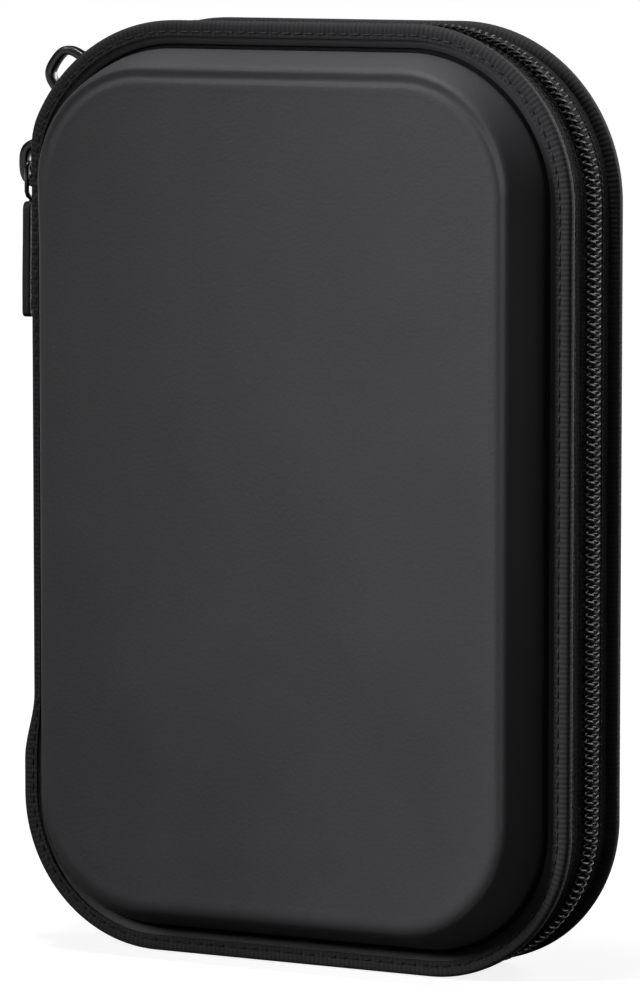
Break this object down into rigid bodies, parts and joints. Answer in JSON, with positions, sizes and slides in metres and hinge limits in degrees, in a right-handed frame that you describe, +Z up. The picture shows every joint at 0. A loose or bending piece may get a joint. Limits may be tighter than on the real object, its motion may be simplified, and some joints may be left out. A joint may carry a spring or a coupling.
{
  "type": "zipped hard case",
  "caption": "Slim moulded hard case for a handheld launch monitor: foam half shells on a fabric spine, closed by a coil zip with sliders and pulls.",
  "frame": {"origin": "on the ground, in the middle of the rear rim's straight foot, 11.1 mm behind the plane where the two halves meet", "axes": "+X to the right of the front face, away from the spine; +Y to the rear half; +Z up along the case"},
  "size_m": [0.1355, 0.0478, 0.1914],
  "materials": {
    "face_fabric": "polyurethane-faced fabric, fine matt grain, charcoal",
    "foam": "moulded closed-cell foam",
    "lining": "brushed knitted lining",
    "binding": "woven polyester binding tape",
    "zip_tape": "woven polyester zip tape",
    "coil": "nylon monofilament coil",
    "black_metal": "black lacquered zinc alloy",
    "pull_rubber": "moulded soft plastic",
    "elastic": "woven elastic",
    "net": "knitted net"
  },
  "bodies": {
    "rear_half": {"rear_shell_skin": "face_fabric", "rear_shell_core": "foam", "rear_shell_lining": "lining", "rear_rim_binding": "binding", "rear_zip_tape": "zip_tape", "rear_zip_coil": "coil", "zip_stop_upper": "binding", "zip_stop_lower": "binding", "retaining_strap": "elastic", "strap_anchor_left": "binding", "strap_anchor_right": "binding"},
    "spine": {"spine_panel": "binding", "spine_lining": "lining"},
    "lid": {"front_shell_skin": "face_fabric", "front_shell_core": "foam", "front_shell_lining": "lining", "front_rim_binding": "binding", "front_zip_tape": "zip_tape", "front_zip_coil": "coil", "pocket_net": "net", "pocket_hem": "elastic"},
    "upper_slider": {"upper_slider_body": "black_metal", "upper_slider_bail": "black_metal"},
    "upper_pull": {"upper_pull_link": "black_metal", "upper_pull_grip": "pull_rubber"},
    "lower_slider": {"lower_slider_body": "black_metal", "lower_slider_bail": "black_metal"},
    "lower_pull": {"lower_pull_link": "black_metal", "lower_pull_grip": "pull_rubber"}
  },
  "joints": [
    {"name": "spine_fold", "type": "hinge", "parent": "rear_half", "child": "spine", "pos_m": [-0.0598, -0.0025, 0.0957], "axis": [0, 0, -1], "range_deg": [0, 90]},
    {"name": "lid_fold", "type": "hinge", "parent": "spine", "child": "lid", "pos_m": [-0.0598, -0.0197, 0.0957], "axis": [0, 0, -1], "range_deg": [0, 90], "deforming": ["front_zip_tape", "front_zip_coil"]},
    {"name": "upper_slider_run", "type": "hinge", "parent": "rear_half", "child": "upper_slider", "pos_m": [-0.02675, -0.0111, 0.1554], "axis": [0, 1, 0], "range_deg": [0, 50]},
    {"name": "lower_slider_run", "type": "slide", "parent": "rear_half", "child": "lower_slider", "axis": [0, 0, -1], "range_m": [0, 0.012]},
    {"name": "upper_pull_swing", "type": "hinge", "parent": "upper_slider", "child": "upper_pull", "pos_m": [-0.0594, -0.01298, 0.1763], "axis": [0.5043, 0.5736, 0.6455], "range_deg": [0, 50]},
    {"name": "lower_pull_swing", "type": "hinge", "parent": "lower_slider", "child": "lower_pull", "pos_m": [-0.06703, -0.0111, 0.1609], "axis": [0, 1, 0], "range_deg": [0, 150]}
  ],
  "couplings": [
    {"joint": "lid_fold", "follows": "spine_fold", "ratio": 1}
  ]
}
